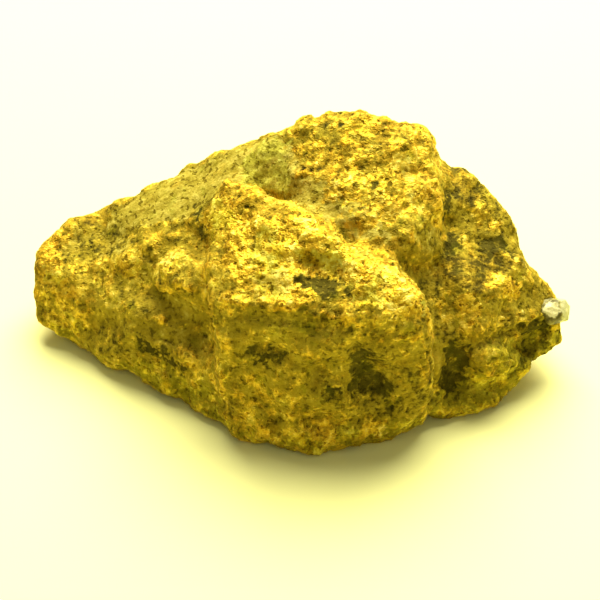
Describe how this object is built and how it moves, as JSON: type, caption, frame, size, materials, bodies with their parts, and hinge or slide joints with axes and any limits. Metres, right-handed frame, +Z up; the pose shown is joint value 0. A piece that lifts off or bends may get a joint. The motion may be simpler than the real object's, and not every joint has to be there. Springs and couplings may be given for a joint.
{
  "type": "gold nugget",
  "caption": "Natural lump of native gold with a blunt end, a high middle, worn hollows and a quartz grain in its pointed end.",
  "frame": {"origin": "centre of the bounding box in X and Y, on the surface that the nugget lies on", "axes": "+X from the blunt end to the pointed end, +Z up, +Y away from the steep front face"},
  "size_m": [0.04, 0.0242, 0.0186],
  "materials": {
    "native_gold": "rough native gold, bright on the ridges, with brown-olive soil in the hollows",
    "quartz": "milky, cream-white, see-through at thin edges"
  },
  "bodies": {
    "root": {"nugget": "native_gold", "quartz_tip": "quartz"}
  },
  "joints": []
}
